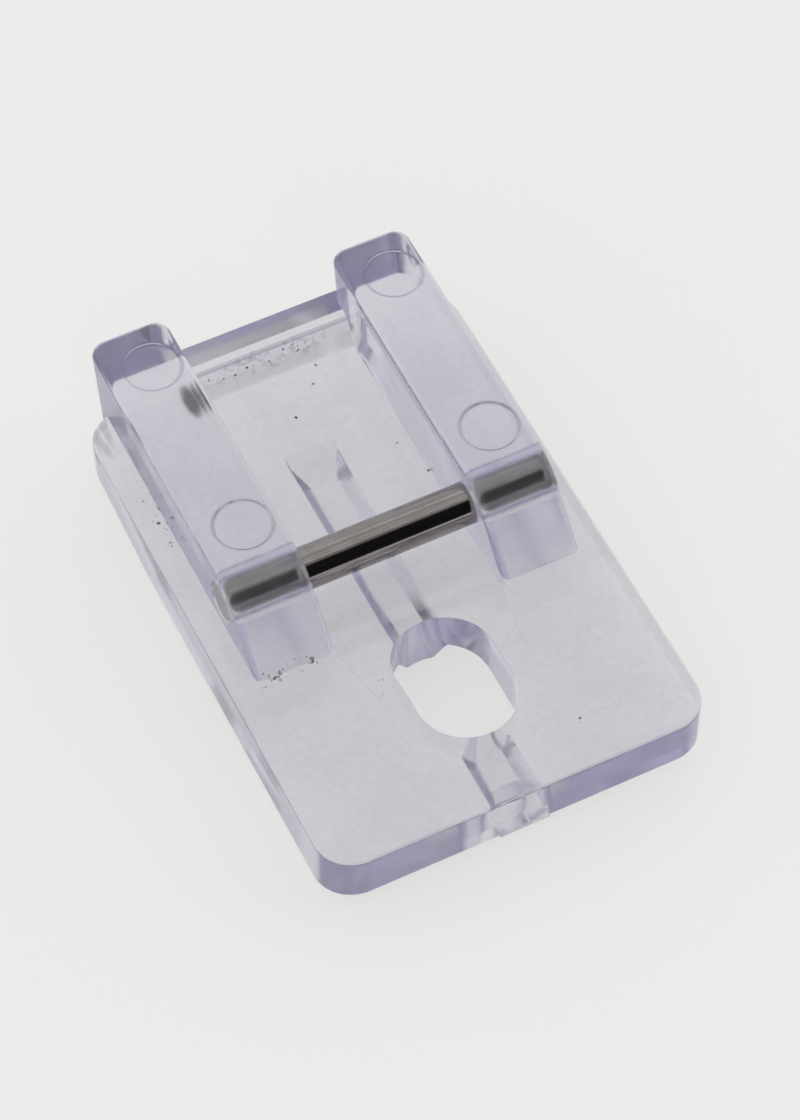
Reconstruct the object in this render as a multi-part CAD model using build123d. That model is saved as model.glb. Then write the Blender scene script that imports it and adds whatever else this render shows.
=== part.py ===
"""Clear moulded clip-on presser foot with a steel cross pin.

Millimetres. X runs across the foot along the pin, the toe points to -Y, +Z is up.
The origin is under the middle of the foot, at the height of the lowest point of the centre rib.
"""
import os

from build123d import *

os.makedirs("parts", exist_ok=True)

# Plate
FOOT_LENGTH = 32.6
PLATE_WIDTH = 21.4
PLATE_THICKNESS = 3.15
TOE_CORNER_RADIUS = 2.1
HEEL_CORNER_RADIUS = 2.1
PLATE_EDGE_ROUND = 0.18

# Underside: lifted toe, lifted heel and the rib on the needle line
TOE_LENGTH = 1.9
TOE_LIFT = 0.25
HEEL_START = 22.2
HEEL_SLOPE = 0.15
RIB_DROP = 1.15
RIB_WIDTH = 2.8
RIB_SIDE_DRAFT = 0.65
RIB_EDGE_ROUND = 0.25
RIB_FRONT_RAMP = 2.3
RIB_REAR = 25.2
RIB_REAR_RAMP = 1.9

# Rails that carry the pin
RAIL_GAP = 9.6
RAIL_WIDTH = 4.4
RAIL_RISE = 3.8
RAIL_FRONT = 11.8
RAIL_OVERHANG = 1.9
REAR_UNDERCUT = 0.95
NOSE_SLOPE = 1.16
NOSE_RADIUS = 3.2
RAIL_EDGE_ROUND = 0.4
RAIL_CORNER_RADIUS = 0.9

# Floor between the rails, its run-out ramp in front and the bar across the back
FLOOR_DROP = 0.8
RAMP_FRONT = 7.5
RAMP_REAR = 12.6
RAMP_FRONT_WIDTH = 7.8
BAR_LENGTH = 3.1
BAR_SLOPE_LENGTH = 0.8
BAR_RISE = 0.8

# Needle hole
HOLE_WIDTH = 5.4
HOLE_FRONT = 4.0
HOLE_LENGTH = 7.9

# Cross pin
PIN_DIAMETER = 2.3
BORE_CLEARANCE = 0.04
PIN_FROM_TOE = 16.1
PIN_ABOVE_PLATE = 1.6
PIN_END_INSET = 0.05
PIN_CHAMFER = 0.15

# Round ejector marks on the rail tops
MARK_DIAMETER = 3.1
MARK_DEPTH = 0.1
MARK_FROM_TOE = 18.55
MARK_FROM_HEEL = 2.85
MARK_SHIFT = 0.3

sole = RIB_DROP
plate_top = sole + PLATE_THICKNESS
floor = plate_top - FLOOR_DROP
bar_top = plate_top + BAR_RISE
rail_top = plate_top + RAIL_RISE
half_width = PLATE_WIDTH / 2
rail_in = RAIL_GAP / 2
rail_out = rail_in + RAIL_WIDTH
pin_z = plate_top + PIN_ABOVE_PLATE
bar_front = FOOT_LENGTH - BAR_LENGTH
slope_rear = bar_front + BAR_SLOPE_LENGTH
rear_lean = REAR_UNDERCUT / (rail_top - sole)
rail_rear = FOOT_LENGTH + RAIL_EDGE_ROUND * (rear_lean + (1 + rear_lean**2) ** 0.5 - 1)
inside = PLATE_THICKNESS / 4


def along(distance):
    """Y of a point given by its distance behind the toe edge."""
    return distance - FOOT_LENGTH / 2


def heel(distance):
    """Height of the underside at a distance behind the toe edge."""
    return sole + HEEL_SLOPE * max(0.0, distance - HEEL_START)


def side_profile(points):
    """Face in the YZ plane from (distance behind the toe edge, height) points."""
    return make_face(Plane.YZ * Polyline(*[(along(d), z) for d, z in points], close=True))


def across(profile, half):
    """Solid from a side profile, run the same distance to both sides of the middle."""
    return extrude(profile, amount=half, both=True)


def plan_block(width, front, rear, front_round, rear_round, lean=0.0):
    """Block hung from the height of the rail tops, with a rounded rectangle as its plan outline.

    The lean moves it to the front on the way down, as a share of the depth.
    """
    outline = Pos(0, (along(front) + along(rear)) / 2) * Rectangle(width, rear - front)
    front_corners = outline.vertices().group_by(Axis.Y)[0]
    rear_corners = outline.vertices().group_by(Axis.Y)[-1]
    if front_round > 0:
        outline = fillet(front_corners, front_round)
        rear_corners = outline.vertices().group_by(Axis.Y)[-1]
    outline = fillet(rear_corners, rear_round)
    drop = Vector(0, -lean, -1) * rail_top
    return extrude(Pos(0, 0, rail_top) * outline, amount=drop.length, dir=drop)


# Base plate with the lifted toe and heel
plate_profile = side_profile([
    (0, sole + TOE_LIFT),
    (TOE_LENGTH, sole),
    (HEEL_START, sole),
    (FOOT_LENGTH, heel(FOOT_LENGTH)),
    (FOOT_LENGTH, plate_top),
    (0, plate_top),
])
plate = across(plate_profile, half_width) & plan_block(
    PLATE_WIDTH, 0, FOOT_LENGTH - RAIL_OVERHANG, TOE_CORNER_RADIUS, HEEL_CORNER_RADIUS)
plate = fillet(plate.edges().group_by(Axis.Z)[-1], PLATE_EDGE_ROUND)

# Floor recess with its run-out ramp
recess = across(side_profile([
    (RAMP_FRONT, plate_top),
    (RAMP_REAR, floor),
    (slope_rear, floor),
    (slope_rear, plate_top + 1),
    (RAMP_FRONT, plate_top + 1),
]), rail_in)
recess_plan = make_face(Polyline(
    (-RAMP_FRONT_WIDTH / 2, along(RAMP_FRONT)),
    (RAMP_FRONT_WIDTH / 2, along(RAMP_FRONT)),
    (rail_in, along(RAIL_FRONT)),
    (rail_in, along(FOOT_LENGTH)),
    (-rail_in, along(FOOT_LENGTH)),
    (-rail_in, along(RAIL_FRONT)),
    close=True,
))
recess = recess & extrude(recess_plan, amount=rail_top)
plate = plate - recess

# Bar across the back, under and between the rails
bar = across(side_profile([
    (bar_front, heel(bar_front)),
    (FOOT_LENGTH, heel(FOOT_LENGTH)),
    (FOOT_LENGTH, bar_top),
    (slope_rear, bar_top),
    (bar_front, floor),
]), rail_out)
bar = bar & plan_block(2 * rail_out, 0, rail_rear, 0, RAIL_CORNER_RADIUS, rear_lean)
body = plate + bar

# Rails
nose_y = RAIL_FRONT + RAIL_RISE / NOSE_SLOPE
rail_profile = side_profile([
    (RAIL_FRONT - inside / NOSE_SLOPE, plate_top - inside),
    (nose_y, rail_top),
    (rail_rear, rail_top),
    (rail_rear, plate_top - inside),
])
nose_corner = rail_profile.vertices().sort_by_distance((0, along(nose_y), rail_top))[0]
rail_profile = fillet(nose_corner, NOSE_RADIUS)
rail = Pos(rail_in + RAIL_WIDTH / 2, 0, 0) * across(rail_profile, RAIL_WIDTH / 2)
rail_plan = Pos(rail_in + RAIL_WIDTH / 2, 0, 0) * plan_block(
    RAIL_WIDTH, 0, rail_rear, 0, RAIL_CORNER_RADIUS, rear_lean)
rail = rail & rail_plan
rail_edges = rail.edges().filter_by(lambda e: e.bounding_box().max.Z > plate_top + RAIL_RISE / 2)
rail_edges = rail_edges.filter_by(lambda e: e.bounding_box().size.X < RAIL_WIDTH * 0.9)
rail_edges = rail_edges.filter_by(lambda e: e.bounding_box().size.Y > RAIL_EDGE_ROUND)
rail_edges = rail_edges.filter_by(lambda e: e.center().Y < along(bar_front) or e.center().Z > rail_top - 0.01)
rail = fillet(rail_edges, RAIL_EDGE_ROUND)
body = body + rail + mirror(rail, Plane.YZ)
for side in (-1, 1):
    for distance in (MARK_FROM_TOE, FOOT_LENGTH - MARK_FROM_HEEL):
        mark_x = side * (rail_in + RAIL_WIDTH / 2) + MARK_SHIFT
        mark = Cylinder(MARK_DIAMETER / 2, MARK_DEPTH)
        body = body - Pos(mark_x, along(distance), rail_top - MARK_DEPTH / 2) * mark

# Centre rib under the sole, sloped at both ends
rib_section = make_face(Plane.XZ * Polyline(
    (-RIB_WIDTH / 2, sole + inside),
    (-RIB_WIDTH / 2, sole),
    (-RIB_WIDTH / 2 + RIB_SIDE_DRAFT, 0),
    (RIB_WIDTH / 2 - RIB_SIDE_DRAFT, 0),
    (RIB_WIDTH / 2, sole),
    (RIB_WIDTH / 2, sole + inside),
    close=True,
))
rib_section = fillet(rib_section.vertices().group_by(Axis.Z)[0], RIB_EDGE_ROUND)
rib = extrude(rib_section, amount=FOOT_LENGTH, both=True)
rib = rib & across(side_profile([
    (0, sole),
    (RIB_FRONT_RAMP, 0),
    (RIB_REAR - RIB_REAR_RAMP, 0),
    (RIB_REAR, heel(RIB_REAR)),
    (RIB_REAR, heel(RIB_REAR) + inside / 2),
    (0, sole + inside),
]), RIB_WIDTH)
body = body + rib

# Needle hole through plate and rib
hole = Pos(0, along(HOLE_FRONT + HOLE_LENGTH / 2), 0) * SlotOverall(HOLE_LENGTH, HOLE_WIDTH, rotation=90)
body = body - extrude(hole, amount=rail_top)

# Pin bore through both rails
bore_radius = (PIN_DIAMETER + BORE_CLEARANCE) / 2
bore = Pos(0, along(PIN_FROM_TOE), pin_z) * Rot(0, 90, 0) * Cylinder(bore_radius, 4 * rail_out)
clear_foot = body - bore

pin_length = 2 * (rail_out - PIN_END_INSET)
cross_pin = Pos(0, along(PIN_FROM_TOE), pin_z) * Rot(0, 90, 0) * Cylinder(PIN_DIAMETER / 2, pin_length)
cross_pin = chamfer(cross_pin.edges().filter_by(GeomType.CIRCLE), PIN_CHAMFER)

export_step(clear_foot, "parts/clear_foot.step")
export_step(cross_pin, "parts/cross_pin.step")
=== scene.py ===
"""Looks of the clear clip-on presser foot: faintly violet plastic, drawn steel pin, pale floor."""
import math

import bpy
from mathutils import Matrix, Vector

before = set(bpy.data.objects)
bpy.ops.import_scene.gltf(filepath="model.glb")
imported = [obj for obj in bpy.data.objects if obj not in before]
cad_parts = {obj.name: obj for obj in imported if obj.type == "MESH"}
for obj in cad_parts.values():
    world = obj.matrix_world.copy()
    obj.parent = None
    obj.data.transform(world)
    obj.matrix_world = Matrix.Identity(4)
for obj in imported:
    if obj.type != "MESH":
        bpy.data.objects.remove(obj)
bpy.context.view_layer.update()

scene = bpy.context.scene
MM = 0.001


def new_material(name):
    material = bpy.data.materials.new(name)
    material.use_nodes = True
    material.node_tree.nodes.clear()
    return material, material.node_tree


class Tree:
    """Short calls for building a node tree. Lengths go in as millimetres."""

    def __init__(self, tree):
        self.tree = tree
        self.coords = None

    def node(self, kind, inputs=(), **settings):
        made = self.tree.nodes.new(kind)
        for key, value in settings.items():
            setattr(made, key, value)
        for key, value in dict(inputs).items():
            self.put(made.inputs[key], value)
        return made

    def put(self, socket, value):
        if isinstance(value, bpy.types.NodeSocket):
            self.tree.links.new(value, socket)
        else:
            socket.default_value = value

    def position(self):
        """Place on the object in millimetres."""
        if self.coords is None:
            metres = self.node("ShaderNodeTexCoord").outputs["Object"]
            self.coords = self.vector("MULTIPLY", metres, (1 / MM, 1 / MM, 1 / MM))
        return self.coords

    def vector(self, operation, a, b=(0, 0, 0)):
        return self.node("ShaderNodeVectorMath", {0: a, 1: b}, operation=operation).outputs["Vector"]

    def noise(self, scale, detail, stretch=(1, 1, 1)):
        place = self.position()
        if stretch != (1, 1, 1):
            place = self.vector("MULTIPLY", place, stretch)
        made = self.node("ShaderNodeTexNoise", {"Vector": place, "Scale": scale, "Detail": detail})
        return made.outputs["Fac"]

    def ramp(self, value, low, high, out_low=0.0, out_high=1.0, smooth=True):
        made = self.node("ShaderNodeMapRange", {
            "Value": value, "From Min": low, "From Max": high, "To Min": out_low, "To Max": out_high})
        made.interpolation_type = "SMOOTHSTEP" if smooth else "LINEAR"
        return made.outputs["Result"]

    def math(self, operation, a, b=0.0):
        return self.node("ShaderNodeMath", {0: a, 1: b}, operation=operation).outputs[0]

    def most(self, values):
        """Largest of several values."""
        result = values[0]
        for value in values[1:]:
            result = self.math("MAXIMUM", result, value)
        return result

    def blend(self, factor, a, b):
        made = self.node("ShaderNodeMix", data_type="RGBA")
        self.put(made.inputs["Factor"], factor)
        self.put(made.inputs[6], a)
        self.put(made.inputs[7], b)
        return made.outputs[2]

    def distance(self, place, centre):
        made = self.node("ShaderNodeVectorMath", {0: place, 1: centre}, operation="DISTANCE")
        return made.outputs["Value"]

    def bump(self, height, strength, depth):
        made = self.node("ShaderNodeBump", {"Height": height, "Strength": strength, "Distance": depth * MM})
        return made.outputs["Normal"]

    def dot(self, place, centre, radius):
        """1 inside a ball, 0 outside."""
        return self.ramp(self.distance(place, centre), radius * 0.6, radius, 1.0, 0.0)

    def cloud(self, centre, half, peak):
        """Soft-edged ellipsoid."""
        away = self.vector("SUBTRACT", self.position(), centre)
        away = self.vector("DIVIDE", away, half)
        return self.ramp(self.distance(away, (0, 0, 0)), 0.55, 1.0, peak, 0.0)


# Clear plastic: faintly violet in the depth, a little hazy, mottled and scuffed

TINT_DULL = (0.838, 0.838, 0.872, 1)
TINT_CLEAR = (0.902, 0.902, 0.92, 1)
# Colour of the painted shade lines at the mark steps, the bar edge and the heel streaks
LINE_SHADE_COLOUR = (0.46, 0.45, 0.52, 1)
# Colour of the dirt and of the painted shade patch under the heel
DIRT_AND_SHADE_COLOUR = (0.045, 0.042, 0.05, 1)
DEPTH_COLOUR = (0.525, 0.488, 0.762, 1)
DEPTH_DENSITY = 40.0
PLASTIC_IOR = 1.56
CLEARNESS = 0.985
ROUGHNESS = (0.09, 0.14)
SCUFF_ROUGHNESS = 0.05

plastic, tree = new_material("clear_plastic")
t = Tree(tree)
place = t.position()
axes = t.node("ShaderNodeSeparateXYZ", {0: place})
high = axes.outputs["Z"]
along = axes.outputs["Y"]
drift = t.noise(0.26, 2.0)
grain = t.noise(2.6, 2.0)
flow = t.noise(1.0, 2.0, (5.2, 0.42, 5.2))
scuff = t.ramp(flow, 0.58, 0.72)
mottle = t.math("ADD", drift, t.math("MULTIPLY", grain, 0.9))
tint = t.blend(t.ramp(mottle, 0.75, 1.15), TINT_DULL, TINT_CLEAR)
matt = t.math("ADD", t.ramp(grain, 0.3, 0.7, *ROUGHNESS), t.math("MULTIPLY", scuff, SCUFF_ROUGHNESS))

# The noses and the rib are duller than the rest. Each pair is where the dullness starts and ends.
NOSE_FOOT = (4.6, 5.2)
NOSE_REAR = (1.2, 2.2)
NOSE_ROUGHNESS = 0.08
RIB_TOP = (0.9, 1.12)
RIB_ROUGHNESS = 0.06
nose = t.math("MULTIPLY", t.ramp(high, *NOSE_FOOT), t.ramp(along, *NOSE_REAR, NOSE_ROUGHNESS, 0.0))
rib = t.ramp(high, *RIB_TOP, RIB_ROUGHNESS, 0.0)
matt = t.math("ADD", matt, t.math("ADD", nose, rib))

# Dirt and painted shade: single specks (place, radius) and specks gathered in corners (place, half size,
# amount), smudges on the front of the bar, and a painted shade patch under the heel
SPECKS = [
    ((4.42, 14.41, 3.5), 0.12),
    ((2.42, 12.98, 3.5), 0.09),
    ((1.70, 11.84, 3.5), 0.11),
    ((-0.05, 10.26, 3.5), 0.12),
    ((4.05, 6.46, 3.5), 0.10),
    ((4.70, 4.06, 3.5), 0.11),
    ((-1.47, -4.08, 4.2), 0.12),
    ((4.44, -13.51, 4.3), 0.07),
]
GATHERED = [
    ((-7.1, -4.5, 4.35), (2.3, 0.55, 0.5), 0.56),
    ((-8.5, -4.5, 4.35), (0.9, 0.70, 0.5), 0.66),
    ((-9.45, 7.2, 4.35), (0.5, 2.9, 0.5), 0.56),
    ((-0.5, 13.75, 4.7), (5.2, 0.50, 0.7), 0.38),
    ((-3.7, -6.9, 4.2), (1.1, 1.5, 0.4), 0.36),
    ((4.9, 3.0, 4.0), (0.4, 5.0, 0.8), 0.30),
    ((4.6, -13.3, 4.3), (2.2, 0.9, 0.4), 0.22),
]
SMUDGE = ((0, 13.7, 4.6), (5.0, 0.9, 0.9), 0.25)
# painted shade: a dark patch under the left heel, where light bent inside the plastic looks dark
HEEL_SHADE_PATCH = ((-4.95, 13.0, 1.9), (0.6, 1.6, 0.7), 0.8)
CRUMBS_PER_MM = 4.6
RAGGED_BY = (0.3, 0.3, 0.3)
ragged = t.node("ShaderNodeVectorMath", {
    0: RAGGED_BY, 1: t.math("SUBTRACT", grain, 0.5), 2: place}, operation="MULTIPLY_ADD").outputs[0]
dots = [t.dot(ragged, centre, radius) for centre, radius in SPECKS]
cells = t.node("ShaderNodeTexVoronoi", {"Vector": ragged, "Scale": CRUMBS_PER_MM})
chance = t.node("ShaderNodeSeparateColor", {0: cells.outputs["Color"]})
amount = t.most([t.cloud(*corner) for corner in GATHERED])
reach = t.math("MULTIPLY", amount, t.ramp(chance.outputs[0], 0.25, 1.0))
crumbs = t.ramp(t.math("SUBTRACT", reach, cells.outputs["Distance"]), 0.0, 0.06)
crumbs = t.math("MULTIPLY", crumbs, t.ramp(chance.outputs[1], 0.0, 1.0, 0.25, 0.9))
smudge = t.math("MULTIPLY", t.ramp(grain, 0.50, 0.66), t.cloud(*SMUDGE))
# mask of the dirt together with the painted shade patch under the heel
dirt_and_shade = t.most(dots + [crumbs, smudge, t.cloud(*HEEL_SHADE_PATCH)])

# Painted shade in faint dark lines: in the corner of the step of each ejector mark, along the front edge of
# the bar, and as streaks in one heel corner
MARK_RADIUS = 1.55
MARK_MIDDLE = (0.3, 7.85, 0)
MARK_FROM_MIDDLE = (7.0, 5.6, 0)
MARK_STEP = (7.9, 7.95)
MARK_LINE = (0.05, 0.16)
BAR_EDGE = (0, 14.0, 5.1)
BAR_EDGE_REACH = 0.20
# painted shade: dark streaks in the left heel corner standing in for light bent at the corner
STREAK_SHADE = ((-10.0, 13.0, 3.6), (0.9, 1.9, 1.6), 0.9)
plan = t.vector("SUBTRACT", t.vector("MULTIPLY", place, (1, 1, 0)), MARK_MIDDLE)
from_mark = t.distance(t.vector("ABSOLUTE", plan), MARK_FROM_MIDDLE)
from_ring = t.math("ABSOLUTE", t.math("SUBTRACT", from_mark, MARK_RADIUS))
# painted shade: a darker line in the corner of each ejector mark's step
ring_shade = t.math("MULTIPLY", t.ramp(from_ring, *MARK_LINE, 1.0, 0.0), t.ramp(high, *MARK_STEP))
# painted shade: a darker line along the front edge of the bar
bar_edge_shade = t.dot(t.vector("MULTIPLY", place, (0, 1, 1)), BAR_EDGE, BAR_EDGE_REACH)
# painted shade streaks, broken up by the stretched noise
streak_shade = t.math("MULTIPLY", t.ramp(flow, 0.46, 0.60), t.cloud(*STREAK_SHADE))
shade_lines = t.math("MULTIPLY", t.math("MAXIMUM", ring_shade, bar_edge_shade), t.ramp(drift, 0.3, 0.6, 0.5, 1.0))
# painted shade lines laid over the plastic's tone
tint = t.blend(t.math("MAXIMUM", shade_lines, streak_shade), tint, LINE_SHADE_COLOUR)

body = t.node("ShaderNodeBsdfPrincipled", {
    "Base Color": t.blend(dirt_and_shade, tint, DIRT_AND_SHADE_COLOUR),
    "Roughness": matt,
    "Transmission Weight": t.ramp(dirt_and_shade, 0, 1, CLEARNESS, 0.0, False),
    "IOR": PLASTIC_IOR,
    "Normal": t.bump(t.noise(0.33, 0.0), 0.12, 0.02),
})
depth = t.node("ShaderNodeVolumeAbsorption", {"Color": DEPTH_COLOUR, "Density": DEPTH_DENSITY})
t.node("ShaderNodeOutputMaterial", {"Surface": body.outputs[0], "Volume": depth.outputs[0]})

# Drawn steel: fine lines along the pin and darker blotches

STEEL_DARK = (0.22, 0.204, 0.20, 1)
STEEL_LIGHT = (0.40, 0.375, 0.37, 1)
STEEL_BLOTCH = (0.20, 0.17, 0.145, 1)

steel, tree = new_material("pin_steel")
t = Tree(tree)
drawn = t.noise(1.0, 3.0, (0.05, 15, 15))
blotch = t.ramp(t.noise(0.9, 3.0), 0.4, 0.7)
shade = t.blend(t.ramp(drawn, 0.36, 0.64), STEEL_DARK, STEEL_LIGHT)
shade = t.blend(t.math("MULTIPLY", blotch, 0.35), shade, STEEL_BLOTCH)
pin = t.node("ShaderNodeBsdfPrincipled", {
    "Base Color": shade,
    "Metallic": 1.0,
    "Roughness": t.ramp(drawn, 0.2, 0.8, 0.06, 0.12, False),
    "Normal": t.bump(drawn, 0.25, 0.01),
})
t.node("ShaderNodeOutputMaterial", {"Surface": pin.outputs[0]})

for name, material in (("clear_foot", plastic), ("cross_pin", steel)):
    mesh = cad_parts[name].data
    mesh.materials.clear()
    mesh.materials.append(material)

# Pale floor that keeps a soft shadow

FLOOR_REACH = 3
FLOOR_DROP = 0.02
FLOOR_LIT = (0.86, 0.86, 0.85, 1)
FLOOR_SHOWN = (0.96, 0.96, 0.945, 1)
SHOWN_SHARE = 0.6

corners = [(x * FLOOR_REACH, y * FLOOR_REACH, 0) for x, y in ((-1, -1), (1, -1), (1, 1), (-1, 1))]
floor_mesh = bpy.data.meshes.new("floor")
floor_mesh.from_pydata(corners, [], [(0, 1, 2, 3)])
floor = bpy.data.objects.new("floor", floor_mesh)
floor.location.z = -FLOOR_DROP * MM
scene.collection.objects.link(floor)
paper, tree = new_material("floor")
t = Tree(tree)
seen = t.node("ShaderNodeLightPath")
direct = t.most([seen.outputs[kind] for kind in ("Is Camera Ray", "Is Glossy Ray", "Is Transmission Ray")])
lit = t.node("ShaderNodeBsdfDiffuse", {"Color": FLOOR_LIT})
glow = t.node("ShaderNodeEmission", {"Color": FLOOR_SHOWN, "Strength": 1.0})
share = t.math("MULTIPLY", direct, SHOWN_SHARE)
mixed = t.node("ShaderNodeMixShader", {0: share, 1: lit.outputs[0], 2: glow.outputs[0]})
t.node("ShaderNodeOutputMaterial", {"Surface": mixed.outputs[0]})
floor_mesh.materials.append(paper)

# Studio: even soft light all round, brighter low on the right, and a dark zone in front that the pin shows.
# The zone is moved aside for light that came through two faces, so that the bar doesn't show it too.

SKY_LOW = (0.83, 0.83, 0.84, 1)
SKY_HIGH = (0.81, 0.81, 0.81, 1)
SIDE_GLOW = (1.25, 1.25, 1.25, 1)
DARK_ZONE = (0.016, 0.015, 0.016, 1)
BACKDROP = (0.85, 0.85, 0.84, 1)
ZONE_NEAR = (0.0, 0.15)
ZONE_FAR = (0.9, 1.5)
ZONE_FOOT = (-0.06, 0.08)
ZONE_TOP = (0.86, 0.985)
ZONE_SHIFT = 0.25
GLOW_SIDE = (0.35, 0.85)
GLOW_TOP = (0.45, 0.75)
SKY_CHANGE = (0.05, 0.75)

world = bpy.data.worlds.new("studio")
scene.world = world
world.use_nodes = True
world.node_tree.nodes.clear()
t = Tree(world.node_tree)
heading = t.node("ShaderNodeTexCoord").outputs["Generated"]
way = t.node("ShaderNodeSeparateXYZ", {0: heading})
across, rear, up = (way.outputs[axis] for axis in "XYZ")
seen = t.node("ShaderNodeLightPath")
two_faces = t.node("ShaderNodeMath", {
    0: seen.outputs["Transmission Depth"], 1: 2.0, 2: 0.5}, operation="COMPARE").outputs[0]
front = t.math("MAXIMUM", t.math("MULTIPLY", rear, -1.0), 0.05)
aside = t.math("SUBTRACT", t.math("DIVIDE", across, front), t.math("MULTIPLY", two_faces, ZONE_SHIFT))
dark = t.math("MULTIPLY", t.ramp(aside, *ZONE_NEAR), t.ramp(aside, *ZONE_FAR, 1.0, 0.0))
dark = t.math("MULTIPLY", dark, t.ramp(up, *ZONE_TOP, 1.0, 0.0))
dark = t.math("MULTIPLY", dark, t.ramp(up, *ZONE_FOOT))
beside = t.math("MULTIPLY", t.ramp(across, *GLOW_SIDE), t.ramp(up, *GLOW_TOP, 1.0, 0.0))
sky = t.blend(t.ramp(up, *SKY_CHANGE), SKY_LOW, SKY_HIGH)
sky = t.blend(beside, sky, SIDE_GLOW)
sky = t.blend(dark, sky, DARK_ZONE)
sky = t.blend(seen.outputs["Is Camera Ray"], sky, BACKDROP)
back = t.node("ShaderNodeBackground", {"Color": sky, "Strength": 1.0})
t.node("ShaderNodeOutputWorld", {"Surface": back.outputs[0]})
world.cycles.sampling_method = "NONE"

# Camera at the photograph's angle

AZIMUTH, ELEVATION, ROLL = (math.radians(degrees) for degrees in (-26.048, 55.421, 0.220))
EYE = Vector((-49.51, -103.43, 169.86)) * MM
FOCAL_PIXELS = 3905.75
IMAGE_HEIGHT = 1120
SENSOR = 36

ahead = Vector((
    -math.sin(AZIMUTH) * math.cos(ELEVATION),
    math.cos(AZIMUTH) * math.cos(ELEVATION),
    -math.sin(ELEVATION),
))
right = Vector((math.cos(AZIMUTH), math.sin(AZIMUTH), 0))
down = ahead.cross(right)
right, down = (
    right * math.cos(ROLL) + down * math.sin(ROLL),
    down * math.cos(ROLL) - right * math.sin(ROLL),
)
lens = bpy.data.cameras.new("camera")
lens.sensor_fit = "AUTO"
lens.sensor_width = SENSOR
lens.lens = FOCAL_PIXELS / IMAGE_HEIGHT * SENSOR
lens.clip_start = 0.001
camera = bpy.data.objects.new("camera", lens)
turn = Matrix((right, -down, -ahead)).transposed().to_4x4()
camera.matrix_world = Matrix.Translation(EYE) @ turn
scene.collection.objects.link(camera)
scene.camera = camera
scene.view_settings.view_transform = "Standard"

# Light is guided far inside the plastic, so it gets more bounces than usual
scene.cycles.max_bounces = 24
scene.cycles.glossy_bounces = 16
scene.cycles.transmission_bounces = 16
